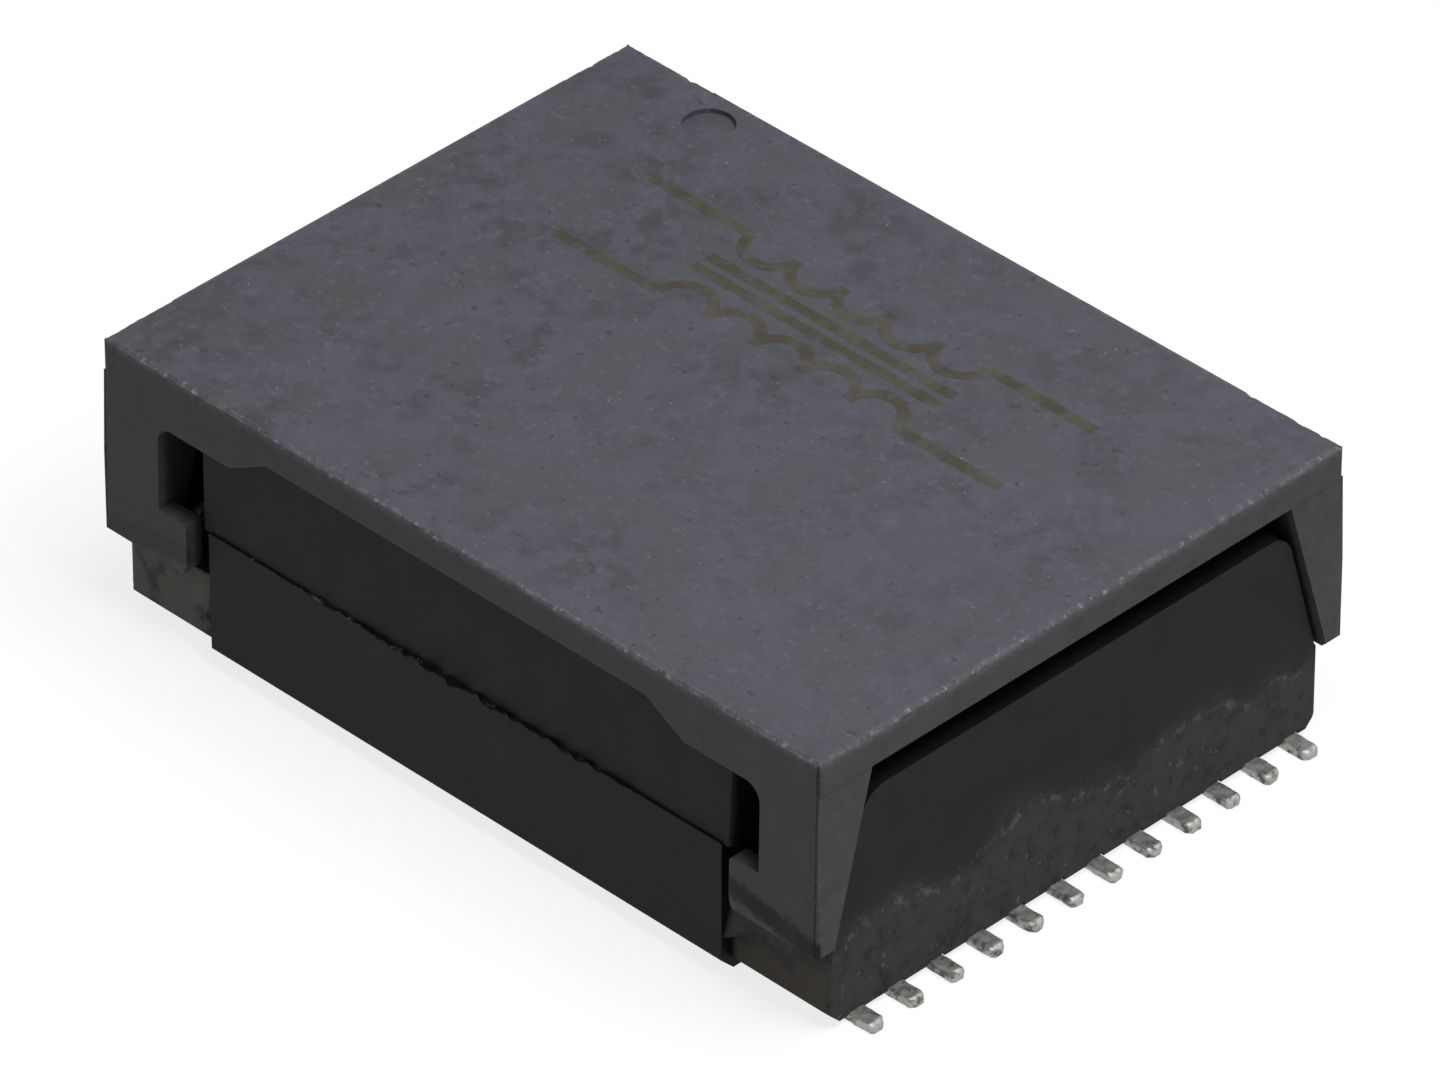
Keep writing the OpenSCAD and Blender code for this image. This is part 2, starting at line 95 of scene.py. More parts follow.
# %% A material and its nodes
class MaterialNodes:
    """One material, short ways to add nodes to it, and the place that they read."""

    def __init__(self, name):
        self.material = bpy.data.materials.new(name)
        self.material.use_nodes = True
        self.tree = self.material.node_tree
        self.shader = self.tree.nodes["Principled BSDF"]
        self.place = self.add("ShaderNodeTexCoord").outputs["Object"]

    def add(self, kind, **settings):
        """A new node of a kind, with its settings."""
        node = self.tree.nodes.new(kind)
        for key, value in settings.items():
            setattr(node, key, value)
        return node

    def feed(self, socket, value):
        """Joins a socket to an output, or writes a plain value into it."""
        if isinstance(value, bpy.types.NodeSocket):
            self.tree.links.new(value, socket)
        else:
            socket.default_value = value

    def feed_color(self, socket, value):
        """The same for a colour, which may be three plain numbers."""
        self.feed(socket, value if isinstance(value, bpy.types.NodeSocket) else (*value, 1.0))

    def axis(self, name):
        """Coordinate along X, Y or Z, in metres."""
        split = self.add("ShaderNodeSeparateXYZ")
        self.feed(split.inputs[0], self.place)
        return split.outputs[name]

    def noise(self, grain, detail=4.0, roughness=0.55, stretch=(1, 1, 1)):
        """Noise whose blotches are about one grain across, in metres."""
        mapping = self.add("ShaderNodeMapping")
        mapping.inputs["Scale"].default_value = stretch
        self.feed(mapping.inputs["Vector"], self.place)
        texture = self.add("ShaderNodeTexNoise")
        self.feed(texture.inputs["Vector"], mapping.outputs["Vector"])
        texture.inputs["Scale"].default_value = 1.0 / grain
        texture.inputs["Detail"].default_value = detail
        texture.inputs["Roughness"].default_value = roughness
        return texture.outputs["Fac"]


# %% Sums and masks
class Masks(MaterialNodes):
    """Sums on places and noise, and the 0 to 1 masks that come of them."""

    def math(self, operation, a, b=0.0):
        """One sum on one or two values."""
        node = self.add("ShaderNodeMath", operation=operation)
        self.feed(node.inputs[0], a)
        self.feed(node.inputs[1], b)
        return node.outputs[0]

    def product(self, first, *others):
        """All the values multiplied together."""
        for value in others:
            first = self.math("MULTIPLY", first, value)
        return first

    def total(self, first, *others):
        """All the values added together."""
        for value in others:
            first = self.math("ADD", first, value)
        return first

    def sway(self, noise_value, width):
        """Noise turned into an offset to both sides of 0, over a width."""
        return self.product(self.math("SUBTRACT", noise_value, 0.5), width)

    def step(self, value, low, high):
        """Rises smoothly from 0 at low to 1 at high, or falls where high is under low."""
        node = self.add("ShaderNodeMapRange", interpolation_type="SMOOTHSTEP")
        turned = high < low
        self.feed(node.inputs["Value"], value)
        node.inputs["From Min"].default_value = min(low, high)
        node.inputs["From Max"].default_value = max(low, high)
        node.inputs["To Min"].default_value = 1.0 if turned else 0.0
        node.inputs["To Max"].default_value = 0.0 if turned else 1.0
        return node.outputs["Result"]


# %% Colours and the finished material
class Finish(Masks):
    """Colours laid through masks, bump, and the shader that takes them."""

    def mix(self, factor, first, second):
        """Blend of two colours; a colour is a socket or three numbers."""
        node = self.add("ShaderNodeMix", data_type="RGBA")
        self.feed(node.inputs["Factor"], factor)
        for name, value in (("A", first), ("B", second)):
            self.feed_color(next(s for s in node.inputs if s.name == name and s.type == "RGBA"), value)
        return next(s for s in node.outputs if s.type == "RGBA")

    def tint(self, color, mask, share, paint):
        """Lays a paint over a colour where the mask is 1, at most as strongly as the share."""
        return self.mix(self.product(mask, share), color, paint)

    def bump(self, height, distance, strength):
        """Bump from a 0 to 1 height, with its real depth in metres."""
        node = self.add("ShaderNodeBump")
        node.inputs["Strength"].default_value = strength
        node.inputs["Distance"].default_value = distance
        self.feed(node.inputs["Height"], height)
        return node.outputs["Normal"]

    def finish(self, color, roughness, normal=None, metallic=0.0, specular=0.5):
        """Joins the looks to the shader and hands back the material."""
        self.feed_color(self.shader.inputs["Base Color"], color)
        self.feed(self.shader.inputs["Roughness"], roughness)
        self.shader.inputs["Metallic"].default_value = metallic
        self.shader.inputs["Specular IOR Level"].default_value = specular
        if normal is not None:
            self.feed(self.shader.inputs["Normal"], normal)
        print("finish", self.material.name, "has", len(self.tree.nodes), "shader nodes")
        return self.material


def dress(node_name, material):
    """Gives a carried-over solid its finish."""
    piece = nodes[node_name]
    piece.data.materials.clear()
    piece.data.materials.append(material)


# %% [markdown]
# ## The cover's ragged rim
# Trimming leaves the plate's top edges ragged: nicks about a tenth of a millimetre long
# all the way round. Bump alone can't break an outline, so the rim gets real geometry. A
# copy of the solid is cut along three lines beside its top edges. The narrow strips between
# the lines are then cut across every few hundredths of a millimetre, and the points nearest
# the edge move in and down by a little noise. The last strip stays flat, so the shading
# of the large faces isn't disturbed.

# %% Copy a solid as a clean mesh
SAME_POINT = 0.0001 * MM


def clean_copy(node_name, name):
    """A new piece with a solid's shape, with one point wherever its triangles meet.

    The solid's stored corner normals are dropped, because they would hide every new
    sharp edge and shade the flat faces wrongly.
    """
    mesh = nodes[node_name].data.copy()
    mesh.name = name
    mesh.materials.clear()
    if "custom_normal" in mesh.attributes:
        mesh.attributes.remove(mesh.attributes["custom_normal"])
    bm = bmesh.new()
    bm.from_mesh(mesh)
    bmesh.ops.remove_doubles(bm, verts=bm.verts, dist=SAME_POINT)
    for edge in bm.edges:
        edge.smooth = True
    piece = bpy.data.objects.new(name, mesh)
    scene.collection.objects.link(piece)
    return piece, bm


def settle(piece, bm, node_name, sharp_from=None):
    """Writes the mesh back, and lets the piece stand for its solid if it has one.

    With sharp_from it is shaded smooth, apart from edges bent by more than that many degrees.
    """
    bmesh.ops.recalc_face_normals(bm, faces=bm.faces)
    bm.to_mesh(piece.data)
    bm.free()
    if sharp_from:
        piece.data.polygons.foreach_set("use_smooth", [True] * len(piece.data.polygons))
        piece.data.set_sharp_from_angle(angle=math.radians(sharp_from))
    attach(piece, "root")
    if node_name:
        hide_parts(node_name)
    print("piece", piece.name, "has", len(piece.data.polygons), "faces")
    return piece


# %% Cut the rim into narrow strips
ON_PLANE = 1e-8
SLACK = 1e-6


def near_rim(co, reach):
    """True for a point beside the plate's top edges."""
    from_edge = min(half_x - abs(co.x), half_y - abs(co.y))
    return co.z > top_z - reach and from_edge < reach


def cut(bm, faces, place, way):
    """Cuts some faces along a plane, and returns them with the new ones."""
    geometry = set(faces)
    for face in faces:
        geometry.update(face.edges)
        geometry.update(face.verts)
    made = bmesh.ops.bisect_plane(bm, geom=list(geometry), dist=ON_PLANE, plane_co=place, plane_no=way)
    return [g for g in made["geom"] if isinstance(g, bmesh.types.BMFace)]


def cut_beside_rim(bm, widths):
    """Cuts the whole shape along lines that run beside the top edges."""
    for width in widths:
        for sign in (-1, 1):
            cut(bm, bm.faces[:], (sign * (half_x - width), 0, 0), (1, 0, 0))
            cut(bm, bm.faces[:], (0, sign * (half_y - width), 0), (0, 1, 0))
        cut(bm, bm.faces[:], (0, 0, top_z - width), (0, 0, 1))


def cut_across(bm, axis, half, reach, step):
    """Cuts the strips that run along one axis into pieces one step long."""
    way = Vector((axis == 0, axis == 1, 0))
    rest = [f for f in bm.faces if all(near_rim(v.co, reach + SLACK) for v in f.verts)]
    count = int((half - reach) / step)
    for k in range(-count, count + 1):
        both_sides = cut(bm, rest, way * k * step, way)
        rest = [f for f in both_sides if f.calc_center_median()[axis] > k * step]
    return 2 * count + 1


# %% Fray the rim
STRIPS = (0.10 * MM, 0.22 * MM, 0.27 * MM)
SLICE = 0.06 * MM
FRAYED = 0.12 * MM
ON_EDGE = 0.01 * MM
DEEPEST_MM = 0.12
# Points beside the edge move this share of what the edge itself does
BESIDE_EDGE = 0.45
# The rim sinks a little more than it moves in
SINK = 1.1
RIM_SHARP_FROM = 24


def worn_depth(co):
    """How much is worn off at a point of the rim, in metres.

    Fine and coarse wear and a few chips add up, with their amounts in millimetres.
    """
    fine = noise.noise(co / (0.10 * MM))
    coarse = noise.noise(co / (0.5 * MM) + Vector((7, 3, 1)))
    chip = max(0.0, noise.noise(co / (0.26 * MM) + Vector((1, 9, 4))) - 0.26)
    return min(DEEPEST_MM, max(0.0, 0.034 + 0.028 * fine + 0.030 * coarse + 0.24 * chip)) * MM


def frayed_cover():
    """The cover with its rim worn in and down, and a chip here and there."""
    piece, bm = clean_copy("cover", "cover_shell")
    cut_beside_rim(bm, STRIPS)
    cuts = sum(cut_across(bm, axis, half, STRIPS[-1], SLICE) for axis, half in ((0, half_x), (1, half_y)))
    for v in bm.verts:
        if not near_rim(v.co, FRAYED):
            continue
        on_top = top_z - v.co.z < ON_EDGE
        on_end = half_x - abs(v.co.x) < ON_EDGE
        on_side = half_y - abs(v.co.y) < ON_EDGE
        depth = worn_depth(v.co)
        share = 1.0 if on_top and (on_end or on_side) else BESIDE_EDGE
        inward = Vector((-v.co.x if on_end else 0, -v.co.y if on_side else 0, 0)).normalized()
        down = Vector((0, 0, -SINK if on_top else 0))
        v.co += inward * depth * share + down * depth * share
    print("cuts across the rim:", cuts)
    return settle(piece, bm, "cover", sharp_from=RIM_SHARP_FROM)


cover_shell = frayed_cover()

# %% [markdown]
# ## The cover's moulding
# The cover is a filled thermoset: blue-grey, matt and faintly cloudy, with pale specks
# where the filler shows. Trimming frays its edges, and the frayed places look pale.
# A worn edge could be painted by hand or found from curvature; here a box-shaped part
# lets the distance to its edges be worked out from the coordinates, which is exact
# and survives an export.

# %% Distances from the edges, and the plate's cloudy tone
DEEP_GREY = (0.062, 0.065, 0.072)
BLUE_GREY = (0.102, 0.105, 0.126)
CLOUD_BLUE = (0.112, 0.115, 0.145)
VIOLET_GREY = (0.106, 0.102, 0.134)
GREEN_GREY = (0.084, 0.090, 0.091)
# Colour of the painted light towards the +X end of the plate
PAINTED_LIGHT_GREY = (0.150, 0.153, 0.176)


def edge_distances(f):
    """Distances in metres from the top edges, from the end faces and from the side faces."""
    from_end = f.math("SUBTRACT", half_x, f.math("ABSOLUTE", f.axis("X")))
    from_side = f.math("SUBTRACT", half_y, f.math("ABSOLUTE", f.axis("Y")))
    from_top = f.math("SUBTRACT", top_z, f.axis("Z"))
    rim = f.math("MINIMUM", f.math("MAXIMUM", from_end, from_top), f.math("MAXIMUM", from_side, from_top))
    return rim, from_end, from_side


def cover_tone(f):
    """Cloudy blue-grey with violet and greenish drifts, its mottle, and painted light that grows towards
    the +X end.
    """
    cloud = f.step(f.noise(3.0 * MM, detail=3), 0.38, 0.62)
    mottle = f.step(f.noise(0.50 * MM, detail=5, roughness=0.62), 0.36, 0.64)
    drift = f.step(f.noise(1.0 * MM, detail=3), 0.44, 0.60)
    green = f.step(f.noise(1.5 * MM, detail=3, stretch=(1.1, 0.9, 1)), 0.44, 0.66)
    # Painted light: the tone grows lighter towards the +X end, standing in for brighter light there
    painted_light_toward_end = f.step(f.axis("X"), -9 * MM, 8 * MM)
    color = f.mix(mottle, DEEP_GREY, BLUE_GREY)
    color = f.tint(color, cloud, 0.50, CLOUD_BLUE)
    color = f.tint(color, drift, 0.40, VIOLET_GREY)
    color = f.tint(color, green, 0.60, GREEN_GREY)
    return f.tint(color, painted_light_toward_end, 0.20, PAINTED_LIGHT_GREY), mottle


# %% [markdown]
# The plate's upright faces are a plainer grey than its top, and painted darker as shade,
# since they take less light than the top. Where they round into the edge they are painted
# pale again, a painted highlight. Nicks and chips show the light filler. Each of these is a mask
# that fades with the distance from an edge, broken up by noise, with a paint laid over it.

# %% Plain upright faces with painted shade, a painted highlight, and pale wear
# Darker than the top: painted shade on the upright faces
SHADED_SIDE_TONES = ((0.052, 0.052, 0.051), (0.074, 0.074, 0.073))
# Painted highlight where the upright faces round into the top edge
PAINTED_HIGHLIGHT_GREY = (0.115, 0.115, 0.120)
WORN_GREY = (0.175, 0.175, 0.187)
CHIP_GREY = (0.34, 0.34, 0.36)


def upright_faces(f, color, mottle, flake, rim, nearest):
    """The plainer tone of the faces below the top edge, painted darker as shade, with a painted highlight
    on the shoulder.
    """
    below_top = f.step(f.axis("Z"), top_z - 0.05 * MM, top_z - 0.14 * MM)
    upright = f.product(below_top, f.step(nearest, 0.40 * MM, 0.20 * MM))
    # Painted highlight along the shoulder
    shoulder_highlight = f.product(f.step(rim, 0.26 * MM, 0.08 * MM), f.step(flake, 0.30, 0.55))
    # Painted shade: the upright faces are darkened against the top
    plain_and_shaded = f.tint(f.mix(mottle, *SHADED_SIDE_TONES), shoulder_highlight, 0.8, PAINTED_HIGHLIGHT_GREY)
    return f.tint(color, upright, 0.90, plain_and_shaded)


def edge_wear(f, color, fray_noise, rim, farthest):
    """Pale frayed edges, nicks down the upright corners, and small chips."""
    fray = f.product(f.step(rim, 0.17 * MM, 0.03 * MM), f.step(fray_noise, 0.40, 0.60))
    nick = f.product(f.step(farthest, 0.14 * MM, 0.05 * MM), f.step(fray_noise, 0.50, 0.66))
    worn = f.math("MAXIMUM", fray, f.product(nick, 0.55))
    broken = f.step(f.noise(0.15 * MM, detail=4, roughness=0.7), 0.53, 0.64)
    chip = f.product(f.step(rim, 0.13 * MM, 0.04 * MM), broken)
    color = f.tint(color, worn, 0.55, WORN_GREY)
    return f.tint(color, chip, 0.70, CHIP_GREY), worn


# %% [markdown]
# Flux and solder reach the legs. They leave a dark band a little above the sole, wavy and
# sloping towards the end, and strongest on the two legs at the end with leads 13 to 24.
# Under it the sole is rubbed pale. Fine dark lines run down beside the upright corners: painted shade of a
# small groove there.

# %% Stains low on the legs
# Each pair is the height at which a mask is 0 and the height at which it is full
BAND_FOOT = (1.86 * MM, 1.98 * MM)
BAND_TOP = (2.46 * MM, 2.24 * MM)
SOLE_TOP = (1.95 * MM, 1.84 * MM)
BAND_SLOPE = 0.16
# Where the painted groove shade runs beside the upright corners, and its colour
GROOVE_PLACE = 0.04 * MM
GROOVE_SHADE_BLACK = (0.010, 0.010, 0.012)
STAIN_BROWN = (0.012, 0.009, 0.008)
SOLE_GREY = (0.14, 0.138, 0.130)


def side_stains(f, color, from_end, from_side, fray_noise):
    """Painted shade in the groove at the upright corners, the stained band low on the legs, and pale soles.
    """
    on_side = f.step(from_side, 0.06 * MM, 0.02 * MM)
    # Painted shade: a broken dark line in the small groove beside each upright corner
    line = f.math("ABSOLUTE", f.math("SUBTRACT", from_end, GROOVE_PLACE))
    groove_shade = f.product(f.step(line, 0.035 * MM, 0.018 * MM), on_side, f.step(fray_noise, 0.36, 0.46))
    color = f.tint(color, groove_shade, 0.85, GROOVE_SHADE_BLACK)
    wave = f.math("SUBTRACT", f.sway(fray_noise, 0.55 * MM), f.product(from_end, BAND_SLOPE))
    height = f.total(f.axis("Z"), wave)
    band = f.product(f.step(height, *BAND_FOOT), f.step(height, *BAND_TOP))
    strength = f.total(0.25, f.product(0.65, f.step(f.axis("X"), 0, 8 * MM)))
    color = f.tint(color, band, f.product(on_side, strength), STAIN_BROWN)
    sole = f.product(f.step(height, *SOLE_TOP), f.step(fray_noise, 0.44, 0.58))
    return f.tint(color, sole, 0.45, SOLE_GREY)


# %% Put the cover's finish together
FLAKE_GREY = (0.165, 0.168, 0.195)
SPECK_GREY = (0.27, 0.275, 0.30)
PIT_GREY = (0.042, 0.043, 0.047)
# Colour of the painted shade on the faces inside the cover
PAINTED_SHADE_INSIDE = (0.012, 0.012, 0.013)


def cover_finish():
    """Tone, flakes, specks and pits, then the faces, wear, stains and painted shade that depend on place.
    """
    f = Finish("cover_moulding")
    color, mottle = cover_tone(f)
    grain = f.noise(0.06 * MM, detail=3, roughness=0.65)
    flake = f.noise(0.17 * MM, detail=3, roughness=0.6)
    speck = f.step(f.noise(0.13 * MM, detail=2), 0.71, 0.77)
    pit = f.step(f.noise(0.21 * MM, detail=2, stretch=(1, 1, 1.3)), 0.33, 0.26)
    color = f.tint(color, f.step(flake, 0.56, 0.70), 0.40, FLAKE_GREY)
    color = f.tint(color, speck, 0.55, SPECK_GREY)
    color = f.tint(color, pit, 0.5, PIT_GREY)
    rim, from_end, from_side = edge_distances(f)
    nearest = f.math("MINIMUM", from_end, from_side)
    farthest = f.math("MAXIMUM", from_end, from_side)
    fray_noise = f.noise(0.24 * MM, detail=6, roughness=0.72)
    color = upright_faces(f, color, mottle, flake, rim, nearest)
    color, worn = edge_wear(f, color, fray_noise, rim, farthest)
    color = side_stains(f, color, from_end, from_side, fray_noise)
    # Painted shade: faces inside the cover, under the plate, are darkened to near black
    shade_under_plate = f.step(f.axis("Z"), top_z - 0.40 * MM, top_z - 0.60 * MM)
    shade_inside = f.product(f.step(nearest, 0.06 * MM, 0.30 * MM), shade_under_plate)
    color = f.tint(color, shade_inside, 0.85, PAINTED_SHADE_INSIDE)
    height = f.total(f.product(mottle, 0.55), f.product(grain, 0.6), f.product(flake, 0.5))
    height = f.math("SUBTRACT", height, f.total(worn, pit))
    rough = f.total(0.60, f.product(mottle, 0.12))
    return f.finish(color, rough, f.bump(height, 0.014 * MM, 0.8), specular=0.16)


cover_moulding = cover_finish()
cover_shell.data.materials.append(cover_moulding)
dress("cover", cover_moulding)

# %% [markdown]
# ## The mark on the plate
# Parts like this are marked by a laser that scorches the resin brown. A general sign says
# what the part is: the circuit symbol of a transformer, two rows of loops with the core's
# two lines between them. Each stroke is a flat strip laid along a line of points, a few
# thousandths of a millimetre over the plate.

# %% Lay a flat strip along a line
STROKE_WIDTH = 0.24 * MM
STROKE_UNEVEN = 0.22


def lay_strip(bm, points, z):
    """Bends a strip of small squares along points in the plane of the plate."""
    count = len(points) - 1
    made = bmesh.ops.create_grid(bm, x_segments=count, y_segments=1, size=1.0)["verts"]
    for v in made:
        i = round((v.co.x + 1) / 2 * count)
        before, after = points[max(0, i - 1)], points[min(count, i + 1)]
        along = (after - before).normalized()
        side = 1 if v.co.y > 0 else -1
        uneven = noise.noise(Vector((points[i].x, points[i].y, side * MM)) / (0.16 * MM))
        across = Vector((-along.y, along.x)) * side * STROKE_WIDTH / 2 * (1 + STROKE_UNEVEN * uneven)
        v.co = Vector((points[i].x + across.x, points[i].y + across.y, z))


# %% Draw the symbol
LOOPS = 5
LOOP_RADIUS = 0.6 * MM
TAIL_END = 2.6 * MM
ROW_LIFT = 0.62 * MM
CORE_HALF = 3.1 * MM
CORE_LIFT = 0.2 * MM
SYMBOL_CENTER = Vector((0.0, 2.62 * MM))
TAIL_STEPS = 30
LOOP_STEPS = 24
CORE_STEPS = 70


def loop_row(side):
    """Strokes of one winding: a tail at each end, and loops that bulge towards the core."""
    start = -LOOPS * LOOP_RADIUS
    base = side * (ROW_LIFT + LOOP_RADIUS)
    strokes = []
    for way in (-1, 1):
        strokes.append([Vector((way * (TAIL_END * k / TAIL_STEPS - start), base))
                        for k in range(TAIL_STEPS + 1)])
    for n in range(LOOPS):
        middle = start + (2 * n + 1) * LOOP_RADIUS
        turns = [math.pi * k / LOOP_STEPS for k in range(LOOP_STEPS + 1)]
        strokes.append([Vector((middle - LOOP_RADIUS * math.cos(turn),
                                base - side * LOOP_RADIUS * math.sin(turn))) for turn in turns])
    return strokes


def core_line(side):
    """Stroke of one of the core's two lines."""
    return [Vector((-CORE_HALF + 2 * CORE_HALF * k / CORE_STEPS, side * CORE_LIFT))
            for k in range(CORE_STEPS + 1)]


def height_of_stroke(k):
    """Strokes lie at slightly different heights, so none fights with the one it meets."""
    return top_z + (0.002 + 0.0004 * (k % 7)) * MM


def coil_symbol():
    """The whole symbol as one piece, laid on the plate."""
    mesh = bpy.data.meshes.new("coil_symbol")
    bm = bmesh.new()
    strokes = loop_row(-1) + loop_row(1) + [core_line(-1), core_line(1)]
    for k, stroke in enumerate(strokes):
        lay_strip(bm, [SYMBOL_CENTER + point for point in stroke], height_of_stroke(k))
    piece = bpy.data.objects.new("coil_symbol", mesh)
    scene.collection.objects.link(piece)
    print("strokes in the symbol:", len(strokes))
    return settle(piece, bm, None)


# %% Scorched finish
SCORCH_TONES = ((0.066, 0.056, 0.032), (0.096, 0.086, 0.056))


def scorch_finish():
    """The plate's own tone, burnt brown in patches."""
    f = Finish("laser_mark")
    color, mottle = cover_tone(f)
    burn = f.step(f.noise(0.30 * MM, detail=5, roughness=0.65), 0.26, 0.50)
    color = f.tint(color, burn, 0.80, f.mix(mottle, *SCORCH_TONES))
    return f.finish(color, 0.75, f.bump(mottle, 0.012 * MM, 0.7), specular=0.2)


coil_symbol().data.materials.append(scorch_finish())

# %% [markdown]
# ## The header's moulding
# The header is near black and smoother. Its end walls and corner blocks were dipped
# close to the solder, so their lower part is dulled by a rough, patchy film with a pale
# crust along its upper edge. The film is a mask that fades out with height and is broken
# up by noise. The corner blocks also took an earthy tone. Under the plate, where little
# light gets in, the top of the panels is darkened to near black: painted shade.

# %% Where the header's film and stains begin and end
# Each pair is where a mask is 0 and where it is full: distances from the middle, or heights
END_WALLS = (6.55 * MM, 6.75 * MM)
BLOCK_SIDES = (6.26 * MM, 6.29 * MM)
BLOCK_TOP = (2.4 * MM, 2.1 * MM)
FILM_TOP = (2.5 * MM, 1.5 * MM)
CRUST_FOOT = (1.72 * MM, 1.9 * MM)
CRUST_TOP = (2.1 * MM, 1.92 * MM)
# Heights of the painted shade under the plate
SHADE_UNDER_PLATE_HEIGHTS = (5.15 * MM, 5.40 * MM)
HEADER_TONES = ((0.0060, 0.0060, 0.0064), (0.0100, 0.0100, 0.0103))
END_BLACK = (0.016, 0.016, 0.016)
FILM_GREY = (0.050, 0.051, 0.050)
CRUST_GREY = (0.160, 0.160, 0.152)
# Colour of the painted shade under the plate
PAINTED_SHADE_BLACK = (0.0020, 0.0020, 0.0020)
BLOCK_TONES = ((0.142, 0.144, 0.130), (0.078, 0.068, 0.058))
print("film on the end walls up to about", round(FILM_TOP[0] / MM, 1), "mm")


# %% Header finish: smooth black, with a dull film low on the ends
def film_masks(f, patch, ends):
    """The film on the end walls, and the crust along its wandering upper edge."""
    wander = f.sway(f.noise(2.4 * MM, detail=3), 3.2 * MM)
    height = f.total(f.axis("Z"), f.total(wander, f.sway(patch, 1.1 * MM)))
    film = f.product(ends, f.step(height, *FILM_TOP))
    crust = f.product(f.step(height, *CRUST_FOOT), f.step(height, *CRUST_TOP), ends)
    return film, f.product(crust, f.step(patch, 0.50, 0.60))


def block_stains(f, color, ends, smooth):
    """The earthy tone on the outer sides of the corner blocks."""
    on_side = f.step(f.math("ABSOLUTE", f.axis("Y")), *BLOCK_SIDES)
    on_block = f.product(on_side, f.step(f.axis("Z"), *BLOCK_TOP))
    stain = f.product(on_block, ends, f.step(smooth, 0.0, 0.5))
    earthy = f.mix(f.step(f.axis("X"), -7 * MM, 7 * MM), *BLOCK_TONES)
    return f.tint(color, stain, 0.85, earthy)


def header_finish():
    """Near black, with the film, its crust and the earthy blocks laid over it, and painted shade under the
    plate.
    """
    f = Finish("header_moulding")
    smooth = f.step(f.noise(0.9 * MM, detail=4), 0.32, 0.70)
    patch = f.noise(0.34 * MM, detail=6, roughness=0.68)
    grain = f.noise(0.05 * MM, detail=2)
    ends = f.step(f.math("ABSOLUTE", f.axis("X")), *END_WALLS)
    film, crust = film_masks(f, patch, ends)
    speck = f.product(film, f.step(f.noise(0.2 * MM, detail=2), 0.66, 0.74))
    color = f.mix(smooth, *HEADER_TONES)
    color = f.tint(color, ends, 0.2, END_BLACK)
    color = f.tint(color, film, f.step(patch, 0.16, 0.56), FILM_GREY)
    color = f.tint(color, f.math("MAXIMUM", speck, crust), 0.50, CRUST_GREY)
    # Painted shade: the top of the panels, under the plate, is darkened to near black
    color = f.tint(color, f.step(f.axis("Z"), *SHADE_UNDER_PLATE_HEIGHTS), 0.8, PAINTED_SHADE_BLACK)
    color = block_stains(f, color, ends, smooth)
    height = f.total(f.product(patch, f.total(0.12, film)), f.product(grain, 0.2))
    rough = f.total(0.50, f.product(film, 0.20))
    return f.finish(color, rough, f.bump(height, 0.022 * MM, 0.6), specular=0.10)


header_moulding = header_finish()
dress("header", header_moulding)

# %% [markdown]
# ## Flash at the parting line
# Where the header's mould closed, a little resin crept out and broke away again. It is a
# thin ragged lip, and shows only along the middle of the panel. A strip of small squares
# is laid along the line, its outer edge is pulled in and out by noise, and it is given
# thickness. Its inner edge stays buried in the panel, so no gap shows.

# %% Make the flash on both long sides
PARTING_Z = 3.03 * MM
FLASH_HALF = 6.5 * MM
FLASH_SQUARES = 260
BURIED_MM = 0.05
MIDDLE_HALF = 3.6 * MM
MIDDLE_SHIFT = 0.4 * MM
FLASH_THICKNESS = 0.03 * MM


def flash_point(x, across, side):
    """Where a point of the strip goes: across runs from 0 in the panel to 1 at the lip.

    The lip stands out and sags by amounts in millimetres, most along the middle.
    """
    where = Vector((x, side * MM, 0))
    middle = math.exp(-((x + side * MIDDLE_SHIFT) / MIDDLE_HALF) ** 4)
    lip = 0.004 + middle * (0.042 + 0.040 * noise.noise(where / (0.15 * MM))
                            + 0.10 * noise.noise(where / (0.42 * MM)))
    sag = (0.008 + 0.080 * middle) * noise.noise(where / (0.22 * MM) + Vector((5, 2, 8)))
    out = panel_face - BURIED_MM * MM + across * (BURIED_MM + max(0.0, lip)) * MM
    return Vector((x, side * out, PARTING_Z + (0.012 + sag * across) * MM))


def parting_flash(side):
    """The lip of resin on one long side, -1 in front and 1 behind."""
    name = "parting_flash_" + ("front" if side < 0 else "back")
    mesh = bpy.data.meshes.new(name)
    bm = bmesh.new()
    made = bmesh.ops.create_grid(bm, x_segments=FLASH_SQUARES, y_segments=2, size=1.0)["verts"]
    for v in made:
        v.co = flash_point(v.co.x * FLASH_HALF, (v.co.y + 1) / 2, side)
    bmesh.ops.solidify(bm, geom=bm.faces[:], thickness=FLASH_THICKNESS)
    piece = bpy.data.objects.new(name, mesh)
    scene.collection.objects.link(piece)
    return settle(piece, bm, None)


# %% Flash finish
FLASH_TONES = ((0.0035, 0.0035, 0.0035), (0.100, 0.100, 0.098))


def flash_finish():
    """Black like the header, and pale where it broke."""
    f = Finish("parting_flash")
    broken = f.step(f.noise(0.2 * MM, detail=5, roughness=0.7), 0.58, 0.66)
    return f.finish(f.mix(broken, *FLASH_TONES), 0.6, f.bump(broken, 0.01 * MM, 0.5), specular=0.12)


flash_material = flash_finish()
for side in (-1, 1):
    parting_flash(side).data.materials.append(flash_material)

# %% [markdown]
# ## Tinned leads
# Each lead is a copper strip dipped in solder, which rounds every corner and sags into
# soft dents as it sets. The solid is a sharp bent strip, so a copy is melted: a voxel
# remesh replaces its skin by small even squares with rounded corners, and noise dents
# them. The copy is a thousand times larger while it is remeshed, because Blender takes
# no voxel under a tenth of a millimetre, and these are half that. No dent reaches under
# the plane that the feet stand on.

